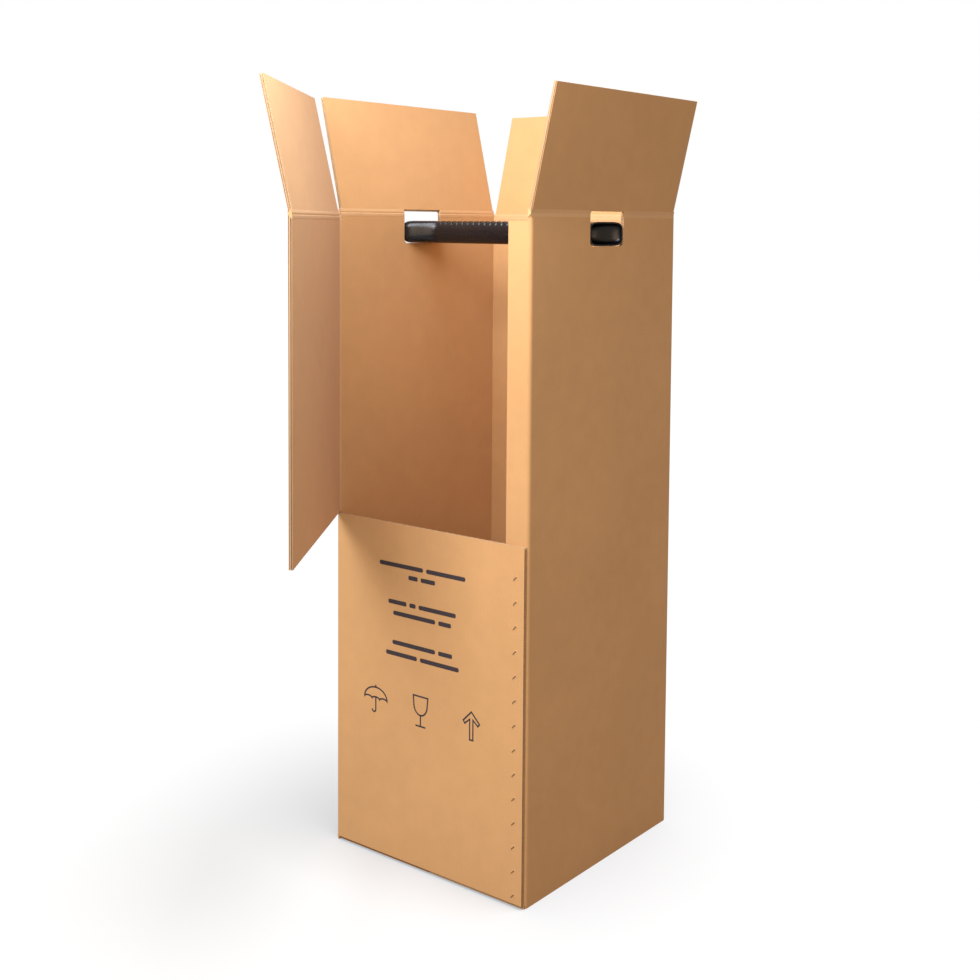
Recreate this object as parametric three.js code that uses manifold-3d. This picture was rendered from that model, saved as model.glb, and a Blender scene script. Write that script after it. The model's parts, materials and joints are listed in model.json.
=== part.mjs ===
// A tall wardrobe carton of double-wall corrugated board, stood open. The upper half of its front is a door
// that swings on the left corner. Its four top flaps lean outwards, and a rail lies across its hand-holes.
// Millimetres, +Z up, front towards -Y, origin at the centre of the bottom face.

import * as THREE from 'three';
import { mergeVertices } from 'three/addons/utils/BufferGeometryUtils.js';
import Module from 'manifold-3d';

const wasm = await Module();
wasm.setup();

// Carton
const cartonWidth = 486;
const cartonDepth = 514;
const cartonHeight = 1304; // up to the creases of the left and right flaps
const board = 7;
const boardGap = 0.4; // between boards that lie on each other, and across a crease
const cornerFold = 3;

// Joint at the front right corner: the front wall laps over a tab of the right wall
const lapReveal = 3;
const tabWidth = 52;

// Top flaps
const topFlap = 240;
const sideFlapInset = 6; // clears the leaning back flap when a side flap folds in
const endFlapClearance = 1;
const sideFlapLean = 13;
const backFlapLean = 15;
const doorFlapLean = 12;

// Door
const sillHeight = 688;
const doorOpening = 55;
const perforationPitch = 15;
const perforationBridge = 3;
const perforationStub = 1;
const perforationSlit = 2.6;

// Bottom flaps
const bottomFlap = 240;
const bottomSeamOffset = 8;
const bottomSeam = 2;

// Hand-holes
const holeWidth = 118;
const holeDrop = 63;
const holeRise = 5;
const holeRadius = 9;
const holeTopRadius = 4;

// Hanging rail
const railWidth = 37;
const railHeight = 47.5; // its top stays below the shut end flaps
const railFlareLength = 62;
const railSideClearance = 2; // between the wide ends and the sides of the hand-holes
const railWall = 2.5;
const railEndRecess = 1.5;
const railGap = 0.3;
const railRibPitch = 15;
const railRibWidth = 3;
const railRibRise = 1.1;
const railRibMargin = 68;
const railRoundness = 2.6; // 2 is an ellipse, more is squarer
const railEndRoundness = 4.5;
const railSides = 28;
const railFlareSteps = 8;
const railRibSpan = 122; // degrees of the rail's section under a rib
const railRibSteps = 8;

// Wire stitches
const stitchFromLap = 21;
const stitchBase = 22;
const stitchPitch = 46.6;
const stitchBelowSill = 15; // the least distance from the top stitch to the sill
const stitchLength = 13;
const stitchTilt = 45;
const wireWidth = 2;
const wireThickness = 0.8;
const wireClearance = 0.3;
const clinchGap = 2;

// Sizes that follow
const beyond = 1;
const lapEdge = cartonWidth - lapReveal;
const tabFace = board + boardGap;
const tabBack = tabFace + board;
const tabEdge = cartonWidth - tabWidth;
const rightInner = cartonWidth - board;
const backInner = cartonDepth - board;
const endCrease = cartonHeight - board - boardGap; // of the door's flap and the back flap
const tabTop = endCrease - board - boardGap;
const endFlapInset = board + endFlapClearance;
const innerFloor = board + boardGap; // underside of the inner bottom flaps
const holeBottom = cartonHeight - holeDrop;
const middleY = cartonDepth / 2;
const railFlareWidth = holeWidth - 2 * railSideClearance;
const stitchCount = 1 + Math.floor((sillHeight - stitchBelowSill - stitchBase) / stitchPitch);
const radians = THREE.MathUtils.degToRad;

// Colours
const kraft = { color: '#c9965f', roughness: 0.9, metalness: 0 };
const blackPlastic = { color: '#141518', roughness: 0.35, metalness: 0 };
const wire = { color: '#8d8a84', roughness: 0.4, metalness: 0.9 };

function solid(geometry) {
  geometry.deleteAttribute('normal');
  geometry.deleteAttribute('uv');
  const merged = mergeVertices(geometry);
  const mesh = new wasm.Mesh({
    numProp: 3,
    vertProperties: Float32Array.from(merged.attributes.position.array),
    triVerts: Uint32Array.from(merged.index.array),
  });
  return new wasm.Manifold(mesh);
}

function named(name, shape, finish) {
  const { vertProperties, triVerts } = shape.getMesh();
  const geometry = new THREE.BufferGeometry();
  geometry.setAttribute('position', new THREE.BufferAttribute(vertProperties, 3));
  geometry.setIndex(new THREE.BufferAttribute(triVerts, 1));
  geometry.computeVertexNormals();
  const mesh = new THREE.Mesh(geometry, new THREE.MeshStandardMaterial(finish));
  mesh.name = name;
  return mesh;
}

// An outline swept along one axis, from one place on it to another. The outline is a THREE.Shape or a list of
// points: (x, y) for axis z, (x, z) for axis y and (y, z) for axis x.
function prism(outline, axis, from, to) {
  const shape = outline instanceof THREE.Shape
    ? outline
    : new THREE.Shape(outline.map(([u, v]) => new THREE.Vector2(u, v)));
  const depth = to - from;
  const geometry = new THREE.ExtrudeGeometry(shape, { depth, bevelEnabled: false, curveSegments: 5 });
  if (axis === 'z') {
    geometry.translate(0, 0, from);
  }
  if (axis === 'y') {
    geometry.rotateX(Math.PI / 2);
    geometry.translate(0, to, 0);
  }
  if (axis === 'x') {
    const turn = new THREE.Matrix4().makeBasis(
      new THREE.Vector3(0, 1, 0),
      new THREE.Vector3(0, 0, 1),
      new THREE.Vector3(1, 0, 0),
    );
    geometry.applyMatrix4(turn);
    geometry.translate(from, 0, 0);
  }
  return solid(geometry);
}

function block(low, high) {
  const [x0, y0, z0] = low;
  const [x1, y1, z1] = high;
  return prism([[x0, y0], [x1, y0], [x1, y1], [x0, y1]], 'z', z0, z1);
}

// The torn perforation, from left to right: little stubs of board stand where the bridges were
function tornEdge(from, to, height, direction) {
  const points = [];
  for (let x = from + perforationPitch / 2; x < to - perforationBridge; x += perforationPitch) {
    const tip = height + direction * perforationStub;
    points.push([x - perforationBridge / 2, height]);
    points.push([x - perforationBridge / 4, tip]);
    points.push([x + perforationBridge / 4, tip]);
    points.push([x + perforationBridge / 2, height]);
  }
  return points;
}

function handHole(bottom, top) {
  const left = middleY - holeWidth / 2;
  const right = middleY + holeWidth / 2;
  const shape = new THREE.Shape();
  shape.moveTo(left + holeRadius, bottom);
  shape.lineTo(right - holeRadius, bottom);
  shape.absarc(right - holeRadius, bottom + holeRadius, holeRadius, -Math.PI / 2, 0);
  shape.lineTo(right, top - holeTopRadius);
  shape.absarc(right - holeTopRadius, top - holeTopRadius, holeTopRadius, 0, Math.PI / 2);
  shape.lineTo(left + holeTopRadius, top);
  shape.absarc(left + holeTopRadius, top - holeTopRadius, holeTopRadius, Math.PI / 2, Math.PI);
  shape.lineTo(left, bottom + holeRadius);
  shape.absarc(left + holeRadius, bottom + holeRadius, holeRadius, Math.PI, Math.PI * 1.5);
  return shape;
}

// Plan of the folded strip of board: front wall, left, back and right walls, then the tab
function stripOutline() {
  const shape = new THREE.Shape();
  shape.moveTo(lapEdge, 0);
  shape.lineTo(0, 0);
  shape.lineTo(0, cartonDepth - cornerFold);
  shape.quadraticCurveTo(0, cartonDepth, cornerFold, cartonDepth);
  shape.lineTo(cartonWidth - cornerFold, cartonDepth);
  shape.quadraticCurveTo(cartonWidth, cartonDepth, cartonWidth, cartonDepth - cornerFold);
  shape.lineTo(cartonWidth, tabFace + cornerFold);
  shape.quadraticCurveTo(cartonWidth, tabFace, cartonWidth - cornerFold, tabFace);
  shape.lineTo(tabEdge, tabFace);
  shape.lineTo(tabEdge, tabBack);
  shape.lineTo(rightInner, tabBack);
  shape.lineTo(rightInner, backInner);
  shape.lineTo(board, backInner);
  shape.lineTo(board, board);
  shape.lineTo(lapEdge, board);
  return shape;
}

function doorway() {
  const high = cartonHeight + beyond;
  const cutBack = board + boardGap / 2;
  const opening = prism([
    [board, sillHeight],
    ...tornEdge(board, lapEdge, sillHeight, 1),
    [lapEdge + beyond, sillHeight],
    [lapEdge + beyond, high],
    [board, high],
  ], 'y', -beyond, cutBack);
  const mitre = prism([[-beyond, -beyond], [cutBack, -beyond], [cutBack, cutBack]], 'z', sillHeight, high);
  return opening.add(mitre);
}

// The walls' top edges slope down inwards, so that a shut flap meets them as a mitre
function topMitres() {
  const high = cartonHeight + beyond;
  const deep = board + boardGap / 2;
  const left = prism([
    [-beyond, high],
    [deep, cartonHeight - deep],
    [deep, high],
  ], 'y', -beyond, cartonDepth + beyond);
  const right = prism([
    [cartonWidth + beyond, high],
    [cartonWidth - deep, high],
    [cartonWidth - deep, cartonHeight - deep],
  ], 'y', -beyond, cartonDepth + beyond);
  const back = prism([
    [cartonDepth + beyond, endCrease + beyond],
    [cartonDepth + beyond, high],
    [cartonDepth - deep, high],
    [cartonDepth - deep, endCrease - deep],
  ], 'x', board, rightInner);
  const tab = block([tabEdge - beyond, board, tabTop], [rightInner, tabBack + beyond, high]);
  return left.add(right).add(back).add(tab);
}

function bottomFlaps() {
  const middle = cartonWidth / 2 + bottomSeamOffset;
  const seam = [middle - bottomSeam / 2, middle + bottomSeam / 2];
  const outerEnds = [sideFlapInset, cartonDepth - sideFlapInset];
  const innerEnds = [endFlapInset, cartonWidth - endFlapInset];
  const left = block([board / 2, outerEnds[0], 0], [seam[0], outerEnds[1], board]);
  const right = block([seam[1], outerEnds[0], 0], [cartonWidth - board / 2, outerEnds[1], board]);
  const front = block([innerEnds[0], board / 2, innerFloor], [innerEnds[1], bottomFlap, innerFloor + board]);
  const back = block(
    [innerEnds[0], cartonDepth - bottomFlap, innerFloor],
    [innerEnds[1], cartonDepth - board / 2, innerFloor + board],
  );
  return [left, right, front, back];
}

// The front and back walls end above the outer bottom flaps, and the tab above the inner front one
function bottomCuts() {
  const front = block([board, -beyond, -beyond], [lapEdge + beyond, board + boardGap / 2, innerFloor]);
  const back = block([board, backInner - boardGap, -beyond], [rightInner, cartonDepth + beyond, innerFloor]);
  const tab = block(
    [tabEdge - beyond, board + boardGap / 2, -beyond],
    [rightInner, tabBack + boardGap, innerFloor + board + boardGap],
  );
  return front.add(back).add(tab);
}

function stitchFrame(index) {
  const frame = new THREE.Object3D();
  frame.position.set(lapEdge - stitchFromLap, 0, stitchBase + index * stitchPitch);
  frame.rotation.y = -radians(stitchTilt);
  frame.updateMatrix();
  return frame;
}

function stitchHoles(index) {
  const reach = stitchLength / 2 - wireThickness / 2;
  const halfLeg = wireThickness / 2 + wireClearance;
  const halfWidth = wireWidth / 2 + wireClearance;
  const holes = [-reach, reach].map((place) => new THREE.BoxGeometry(
    2 * halfLeg,
    tabBack + 2 * beyond,
    2 * halfWidth,
  ).translate(place, tabBack / 2, 0).applyMatrix4(stitchFrame(index).matrix));
  return holes.map(solid);
}

function cartonBody() {
  let body = prism(stripOutline(), 'z', 0, cartonHeight)
    .subtract(doorway())
    .subtract(topMitres())
    .subtract(bottomCuts());
  for (const flap of bottomFlaps()) {
    body = body.add(flap);
  }
  const hole = handHole(holeBottom, cartonHeight + holeRise);
  body = body.subtract(prism(hole, 'x', -beyond, board + beyond));
  body = body.subtract(prism(hole, 'x', rightInner - beyond, cartonWidth + beyond));
  for (let index = 0; index < stitchCount; index += 1) {
    for (const cut of stitchHoles(index)) {
      body = body.subtract(cut);
    }
  }
  return named('carton_body', body, kraft);
}

// The door, shut: x runs away from its hinge, which is the carton's front left corner
function door() {
  const bottom = sillHeight + perforationSlit;
  const sheet = prism([
    [0, bottom],
    ...tornEdge(board, lapEdge, bottom, -1),
    [lapEdge, bottom],
    [lapEdge, endCrease],
    [0, endCrease],
  ], 'y', 0, board);
  const hingeSide = prism([
    [boardGap - beyond, -beyond],
    [boardGap + board + beyond, board + beyond],
    [-beyond, board + beyond],
    [-beyond, -beyond],
  ], 'z', bottom - perforationSlit, cartonHeight);
  const topSide = prism([
    [-beyond, endCrease + beyond],
    [board + beyond, endCrease - board - beyond],
    [board + beyond, cartonHeight],
    [-beyond, cartonHeight],
  ], 'x', -beyond, lapEdge + beyond);
  return named('front_door', sheet.subtract(hingeSide).subtract(topSide), kraft);
}

// A top flap, upright: x runs along its crease, y inwards from its outer face, z up from the crease
function topFlapSheet(name, from, to, holed) {
  let sheet = prism([
    [0, boardGap],
    [board, board + boardGap],
    [board, topFlap],
    [0, topFlap],
  ], 'x', from, to);
  if (holed) {
    const hole = handHole(-holeDrop, holeRise);
    sheet = sheet.subtract(prism(hole, 'y', -beyond, board + beyond));
  }
  return named(name, sheet, kraft);
}

function creaseGroup(parent, position, turn, lean) {
  const group = new THREE.Group();
  group.position.set(...position);
  group.rotation.order = 'ZYX';
  group.rotation.set(radians(lean), 0, radians(turn));
  parent.add(group);
  return group;
}

// A point on a section of the rail, as its place across and up from the middle
function railPoint(turn, halfWidth, halfHeight, roundness) {
  const power = 2 / roundness;
  const [c, s] = [Math.cos(turn), Math.sin(turn)];
  return [
    Math.sign(c) * Math.abs(c) ** power * halfWidth,
    Math.sign(s) * Math.abs(s) ** power * halfHeight,
  ];
}

// One section of the rail: wide and squarish at its ends, and lower by a rib's rise between the flares
function railRing(x, inset) {
  const length = cartonWidth - 2 * railEndRecess;
  const fromEnd = Math.min(x, length - x);
  const along = THREE.MathUtils.smoothstep(fromEnd, 0, railFlareLength);
  const lowered = fromEnd >= railFlareLength ? railRibRise : 0;
  const halfWidth = THREE.MathUtils.lerp(railFlareWidth, railWidth, along) / 2 - lowered - inset;
  const halfHeight = (railHeight - lowered) / 2 - inset;
  const roundness = THREE.MathUtils.lerp(railEndRoundness, railRoundness, along);
  const turns = Array.from({ length: railSides }, (_, side) => side / railSides * Math.PI * 2);
  return turns.map((turn) => {
    const [y, z] = railPoint(turn, halfWidth, halfHeight, roundness);
    return [x, y, z - lowered / 2];
  });
}

// A closed tube through rings: the outer rings from end to end, then the inner ones back again
function tubeGeometry(rings) {
  const sides = rings[0].length;
  const positions = rings.flat(2);
  const indices = [];
  rings.forEach((ring, row) => {
    const here = row * sides;
    const next = (row + 1) % rings.length * sides;
    for (let side = 0; side < sides; side += 1) {
      const beside = (side + 1) % sides;
      const [a, b, c, d] = [here + side, here + beside, next + beside, next + side];
      indices.push(a, b, c, a, c, d);
    }
  });
  const geometry = new THREE.BufferGeometry();
  geometry.setAttribute('position', new THREE.Float32BufferAttribute(positions, 3));
  geometry.setIndex(indices);
  return geometry;
}

// One of the low ribs over the rail's top, which keep hangers apart
function railRib() {
  const start = (Math.PI - radians(railRibSpan)) / 2;
  const turns = Array.from(
    { length: railRibSteps + 1 },
    (_, step) => start + radians(railRibSpan) * step / railRibSteps,
  );
  const along = (inset) => (turn) => {
    const halfHeight = (railHeight + railRibRise) / 2 - inset;
    const [y, z] = railPoint(turn, railWidth / 2 - inset, halfHeight, railRoundness);
    return [y, z - railRibRise / 2];
  };
  return [...turns.map(along(0)), ...turns.toReversed().map(along(railRibRise + railWall / 2))];
}

function hangingRail() {
  const length = cartonWidth - 2 * railEndRecess;
  const flare = Array.from(
    { length: railFlareSteps + 1 },
    (_, step) => railFlareLength * step / railFlareSteps,
  );
  const stations = [...flare, ...flare.toReversed().map((place) => length - place)];
  const outer = stations.map((x) => railRing(x, 0));
  const inner = stations.toReversed().map((x) => railRing(x, railWall));
  let rail = solid(tubeGeometry([...outer, ...inner]));
  for (let x = railRibMargin; x <= length - railRibMargin; x += railRibPitch) {
    rail = rail.add(prism(railRib(), 'x', x - railRibWidth / 2, x + railRibWidth / 2));
  }
  const mesh = named('hanging_rail', rail, blackPlastic);
  mesh.position.set(railEndRecess, middleY, holeBottom + railGap + railHeight / 2);
  return mesh;
}

// A wire stitch: a crown on the front wall, two legs through both boards, tails clinched on the tab
function stitch(index) {
  const half = stitchLength / 2;
  const outline = [
    [-half, -wireThickness],
    [half, -wireThickness],
    [half, tabBack + wireThickness],
    [clinchGap / 2, tabBack + wireThickness],
    [clinchGap / 2, tabBack],
    [half - wireThickness, tabBack],
    [half - wireThickness, 0],
    [-half + wireThickness, 0],
    [-half + wireThickness, tabBack],
    [-clinchGap / 2, tabBack],
    [-clinchGap / 2, tabBack + wireThickness],
    [-half, tabBack + wireThickness],
  ];
  const mesh = named(
    `stitch_${String(index + 1).padStart(2, '0')}`,
    prism(outline, 'z', -wireWidth / 2, wireWidth / 2),
    wire,
  );
  const frame = stitchFrame(index);
  mesh.position.copy(frame.position);
  mesh.rotation.copy(frame.rotation);
  return mesh;
}

const group = new THREE.Group();
const carton = new THREE.Group();
carton.position.set(-cartonWidth / 2, -cartonDepth / 2, 0);
group.add(carton);

carton.add(cartonBody());
for (let index = 0; index < stitchCount; index += 1) {
  carton.add(stitch(index));
}
carton.add(hangingRail());

const doorGroup = creaseGroup(carton, [0, 0, 0], -doorOpening, 0);
doorGroup.add(door());
const doorFlapGroup = creaseGroup(doorGroup, [0, 0, endCrease], 0, doorFlapLean);
doorFlapGroup.add(topFlapSheet('front_flap', endFlapInset, cartonWidth - endFlapInset, false));

const leftGroup = creaseGroup(carton, [0, cartonDepth, cartonHeight], -90, sideFlapLean);
leftGroup.add(topFlapSheet('left_flap', sideFlapInset, cartonDepth - sideFlapInset, true));
const rightGroup = creaseGroup(carton, [cartonWidth, 0, cartonHeight], 90, sideFlapLean);
rightGroup.add(topFlapSheet('right_flap', sideFlapInset, cartonDepth - sideFlapInset, true));
const backGroup = creaseGroup(carton, [cartonWidth, cartonDepth, endCrease], 180, backFlapLean);
backGroup.add(topFlapSheet('back_flap', endFlapInset, cartonWidth - endFlapInset, false));

export default group;
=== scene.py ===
import json
import math

import bpy
from mathutils import Matrix, Vector


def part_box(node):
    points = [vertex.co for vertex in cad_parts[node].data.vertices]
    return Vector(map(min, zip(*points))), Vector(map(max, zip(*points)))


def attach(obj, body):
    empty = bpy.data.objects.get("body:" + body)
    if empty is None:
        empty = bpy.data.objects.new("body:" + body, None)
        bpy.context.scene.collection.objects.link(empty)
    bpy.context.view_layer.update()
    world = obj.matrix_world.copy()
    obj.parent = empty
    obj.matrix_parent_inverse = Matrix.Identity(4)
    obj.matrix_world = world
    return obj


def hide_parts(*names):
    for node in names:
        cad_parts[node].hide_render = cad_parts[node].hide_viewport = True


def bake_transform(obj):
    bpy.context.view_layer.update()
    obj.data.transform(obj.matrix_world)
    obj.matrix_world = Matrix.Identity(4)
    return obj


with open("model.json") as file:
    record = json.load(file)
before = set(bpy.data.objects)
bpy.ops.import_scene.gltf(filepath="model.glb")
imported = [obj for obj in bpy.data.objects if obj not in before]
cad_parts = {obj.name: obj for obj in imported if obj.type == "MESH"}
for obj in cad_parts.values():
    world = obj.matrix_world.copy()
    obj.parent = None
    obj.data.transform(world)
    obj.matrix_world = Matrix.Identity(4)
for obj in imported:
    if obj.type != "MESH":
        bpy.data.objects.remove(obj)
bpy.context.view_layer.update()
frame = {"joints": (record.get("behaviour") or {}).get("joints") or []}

mm = 0.001
cartonLow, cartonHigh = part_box("carton_body")
joints = {joint["name"]: joint for joint in frame["joints"]}
left, right = cartonLow.x, cartonHigh.x
front, back = cartonLow.y, cartonHigh.y
sideCrease = joints["left_flap_hinge"]["pos_m"][2]
endCrease = joints["back_flap_hinge"]["pos_m"][2]
doorLow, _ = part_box("front_door")
railLow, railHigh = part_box("hanging_rail")

# Double-wall board: three liners and two fluted mediums, in millimetres from the outer face
boardSettings = {
    "thickness": 7.0,
    "liner": 0.36,
    "medium": 0.26,
    "outerFlute": {"middle": 2.05, "swing": 1.55, "pitch": 7.9},
    "innerFlute": {"middle": 5.3, "swing": 1.2, "pitch": 6.4},
    "middleLiner": 3.9,
    "stepsPerFlute": 8,
    "linerStep": 12.0,
}
board = boardSettings["thickness"] * mm
boardGap = 0.4 * mm
justPast = 1e-6  # a station on the far side of a step

print("stage: helpers")


def clearSelection():
    bpy.ops.object.select_all(action="DESELECT")


def applyModifiers(piece):
    bpy.context.view_layer.objects.active = piece
    for modifier in list(piece.modifiers):
        bpy.ops.object.modifier_apply(modifier=modifier.name)


def useSmoothShading():
    bpy.ops.object.shade_smooth_by_angle(angle=math.radians(50))


def faceOutwards():
    bpy.ops.mesh.select_all(action="SELECT")
    bpy.ops.mesh.normals_make_consistent(inside=False)


def thicken(piece, thickness, offset=0.0):
    wall = piece.modifiers.new("thickness", "SOLIDIFY")
    wall.thickness = thickness
    wall.offset = offset
    applyModifiers(piece)


def joinPieces(pieces, name):
    clearSelection()
    for piece in pieces:
        piece.select_set(True)
    bpy.context.view_layer.objects.active = pieces[0]
    bpy.ops.object.join()
    joined = bpy.context.active_object
    joined.name = name
    joined.data.name = name
    return joined


def noise(value, seed=0.0):
    wave = math.sin(value * 12.9898 + seed * 78.233) * 43758.5453
    return wave - math.floor(wave)


def smoothStep(value):
    value = min(max(value, 0.0), 1.0)
    return value * value * (3 - 2 * value)


# Materials

kraftSettings = {
    "outer": (0.60, 0.34, 0.145, 1.0),
    "medium": (0.60, 0.42, 0.25, 1.0),
    "crease": (0.64, 0.39, 0.19, 1.0),
    "fibreShade": 0.16,
    "blotchShade": 0.13,
    "cloudShade": 0.16,
    "fluteShade": 0.007,
    "fleckShade": -0.22,
    "fibreHeight": 0.35,
    "fluteHeight": 0.25,
    "shader": {"Specular IOR Level": 0.28, "Sheen Weight": 0.12, "Sheen Roughness": 0.6},
    "bump": {"Strength": 0.5, "Distance": 0.00016},
}


def addNode(tree, kind, place, inputs=None, **values):
    node = tree.nodes.new(kind)
    node.location = place
    for key, value in values.items():
        setattr(node, key, value)
    for key, value in (inputs or {}).items():
        node.inputs[key].default_value = value
    return node


def newMaterial(name, settings):
    material = bpy.data.materials.new(name)
    material.use_nodes = True
    shader = material.node_tree.nodes["Principled BSDF"]
    for key, value in settings.items():
        shader.inputs[key].default_value = value
    return material, material.node_tree, shader


def makePaperGroup():
    # kraft paper: fibres along the machine direction, blotches, dark flecks, and faint lines over the flutes
    # that are painted shade of the liner's washboard
    settings = kraftSettings
    group = bpy.data.node_groups.new("kraftPaper", "ShaderNodeTree")
    newSocket = group.interface.new_socket
    newSocket(name="Place", in_out="INPUT", socket_type="NodeSocketVector")
    newSocket(name="Color", in_out="INPUT", socket_type="NodeSocketColor")
    newSocket(name="Flute lines", in_out="INPUT", socket_type="NodeSocketFloat")
    newSocket(name="Color", in_out="OUTPUT", socket_type="NodeSocketColor")
    newSocket(name="Roughness", in_out="OUTPUT", socket_type="NodeSocketFloat")
    newSocket(name="Height", in_out="OUTPUT", socket_type="NodeSocketFloat")
    link = group.links.new
    entry = addNode(group, "NodeGroupInput", (-1400, 0))
    leave = addNode(group, "NodeGroupOutput", (900, 0))
    place = entry.outputs["Place"]

    def pattern(row, scale, detail, roughness=0.5, stretch=None):
        # noise over the paper, stretched where it has a scale for each axis
        inputs = {"Scale": scale, "Detail": detail, "Roughness": roughness}
        texture = addNode(group, "ShaderNodeTexNoise", (-950, row), inputs)
        source = place
        if stretch:
            mapping = addNode(group, "ShaderNodeMapping", (-1150, row), {"Scale": stretch})
            link(place, mapping.inputs["Vector"])
            source = mapping.outputs["Vector"]
        link(source, texture.inputs["Vector"])
        return texture.outputs["Fac"]

    def maths(operation, spot, *sources):
        # each source is a socket or a plain number
        node = addNode(group, "ShaderNodeMath", spot, operation=operation)
        for number, source in enumerate(sources):
            if isinstance(source, float):
                node.inputs[number].default_value = source
            else:
                link(source, node.inputs[number])
        return node.outputs[0]

    def weighted(source, weight, spot):
        # the source about its middle, times a weight
        return maths("MULTIPLY_ADD", spot, source, weight, -0.5 * weight)

    fibres = pattern(300, 1.0, 5.0, 0.65, (160, 620, 400))
    blotches = pattern(60, 26.0, 4.0)
    clouds = pattern(-160, 4.5, 2.0)
    flecks = pattern(-400, 1.0, 1.0, 0.5, (240, 700, 500))
    fleckMask = addNode(group, "ShaderNodeMapRange", (-750, -400), {"From Min": 0.70, "From Max": 0.80})
    link(flecks, fleckMask.inputs["Value"])

    split = addNode(group, "ShaderNodeSeparateXYZ", (-1150, -650))
    link(place, split.inputs["Vector"])
    # faint lines over the flutes: painted shade of the washboard ridges, darker and lighter by turns at the
    # flute pitch; the bump below gives them some relief as well
    turnsPerMetre = 2 * math.pi / (boardSettings["outerFlute"]["pitch"] * mm)
    turns = maths("MULTIPLY", (-950, -650), split.outputs["X"], turnsPerMetre)
    flute = maths("SINE", (-780, -650), turns)
    fluteAmount = maths("MULTIPLY", (-600, -650), flute, entry.outputs["Flute lines"])

    fibreShade = weighted(fibres, settings["fibreShade"], (-700, 300))
    blotchShade = weighted(blotches, settings["blotchShade"], (-700, 60))
    cloudShade = weighted(clouds, settings["cloudShade"], (-700, -160))
    fluteShade = maths("MULTIPLY", (-420, -600), fluteAmount, settings["fluteShade"])
    fleckShade = maths("MULTIPLY", (-420, -400), fleckMask.outputs["Result"], settings["fleckShade"])
    shade = maths("ADD", (-500, 200), fibreShade, blotchShade)
    shade = maths("ADD", (-350, 150), shade, cloudShade)
    shade = maths("ADD", (-200, 100), shade, fluteShade)
    shade = maths("ADD", (-50, 50), shade, fleckShade)
    gain = maths("ADD", (100, 50), shade, 1.0)
    colour = addNode(group, "ShaderNodeVectorMath", (300, 120), operation="SCALE")
    link(entry.outputs["Color"], colour.inputs[0])
    link(gain, colour.inputs["Scale"])
    link(colour.outputs["Vector"], leave.inputs["Color"])

    rough = addNode(group, "ShaderNodeMapRange", (300, -100), {"To Min": 0.78, "To Max": 0.95})
    link(blotches, rough.inputs["Value"])
    link(rough.outputs["Result"], leave.inputs["Roughness"])

    fibreHeight = maths("MULTIPLY", (100, -300), fibres, settings["fibreHeight"])
    fluteHeight = maths("MULTIPLY", (100, -480), fluteAmount, settings["fluteHeight"])
    link(maths("ADD", (300, -380), fibreHeight, fluteHeight), leave.inputs["Height"])
    return group


def paperMaterial(name, colour, fluteLines, onMap):
    material, tree, shader = newMaterial(name, kraftSettings["shader"])
    inputs = {"Color": colour, "Flute lines": fluteLines}
    paper = addNode(tree, "ShaderNodeGroup", (-450, 200), inputs, node_tree=paperGroup)
    if onMap:
        source = addNode(tree, "ShaderNodeUVMap", (-700, 200), uv_map="UVMap").outputs["UV"]
    else:
        source = addNode(tree, "ShaderNodeTexCoord", (-700, 200)).outputs["Object"]
    bump = addNode(tree, "ShaderNodeBump", (-220, -150), kraftSettings["bump"])
    tree.links.new(source, paper.inputs["Place"])
    tree.links.new(paper.outputs["Color"], shader.inputs["Base Color"])
    tree.links.new(paper.outputs["Roughness"], shader.inputs["Roughness"])
    tree.links.new(paper.outputs["Height"], bump.inputs["Height"])
    tree.links.new(bump.outputs["Normal"], shader.inputs["Normal"])
    return material


def plasticMaterial():
    material, tree, shader = newMaterial("blackRailPlastic", {"Specular IOR Level": 0.5})
    place = addNode(tree, "ShaderNodeTexCoord", (-900, 0))
    grain = addNode(tree, "ShaderNodeTexNoise", (-650, 0), {"Scale": 420.0, "Detail": 3.0})
    scuffMap = addNode(tree, "ShaderNodeMapping", (-700, -250), {"Scale": (12, 260, 260)})
    scuffs = addNode(tree, "ShaderNodeTexNoise", (-500, -250), {"Scale": 1.0, "Detail": 4.0})
    rough = addNode(tree, "ShaderNodeMapRange", (-300, -250), {"To Min": 0.20, "To Max": 0.34})
    darkAndLight = {9: (0.003, 0.0035, 0.006), 10: (0.008, 0.009, 0.014)}
    tone = addNode(tree, "ShaderNodeMapRange", (-300, 200), darkAndLight, data_type="FLOAT_VECTOR")
    bump = addNode(tree, "ShaderNodeBump", (-250, -500), {"Strength": 0.25, "Distance": 0.00008})
    link = tree.links.new
    link(place.outputs["Object"], grain.inputs["Vector"])
    link(place.outputs["Object"], scuffMap.inputs["Vector"])
    link(scuffMap.outputs["Vector"], scuffs.inputs["Vector"])
    link(scuffs.outputs["Fac"], rough.inputs["Value"])
    link(rough.outputs["Result"], shader.inputs["Roughness"])
    link(scuffs.outputs["Color"], tone.inputs[6])
    link(tone.outputs["Vector"], shader.inputs["Base Color"])
    link(grain.outputs["Fac"], bump.inputs["Height"])
    link(bump.outputs["Normal"], shader.inputs["Normal"])
    return material


def wireMaterial():
    material, tree, shader = newMaterial("stitchingWire", {"Metallic": 1.0})
    place = addNode(tree, "ShaderNodeTexCoord", (-800, 0))
    drawn = addNode(tree, "ShaderNodeTexNoise", (-600, 0), {"Scale": 900.0})
    darkAndLight = {6: (0.24, 0.13, 0.055, 1), 7: (0.46, 0.29, 0.15, 1)}
    tone = addNode(tree, "ShaderNodeMix", (-300, 100), darkAndLight, data_type="RGBA")
    rough = addNode(tree, "ShaderNodeMapRange", (-300, -150), {"To Min": 0.32, "To Max": 0.6})
    link = tree.links.new
    link(place.outputs["Object"], drawn.inputs["Vector"])
    link(drawn.outputs["Fac"], tone.inputs["Factor"])
    link(tone.outputs[2], shader.inputs["Base Color"])
    link(drawn.outputs["Fac"], rough.inputs["Value"])
    link(rough.outputs["Result"], shader.inputs["Roughness"])
    return material


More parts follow.
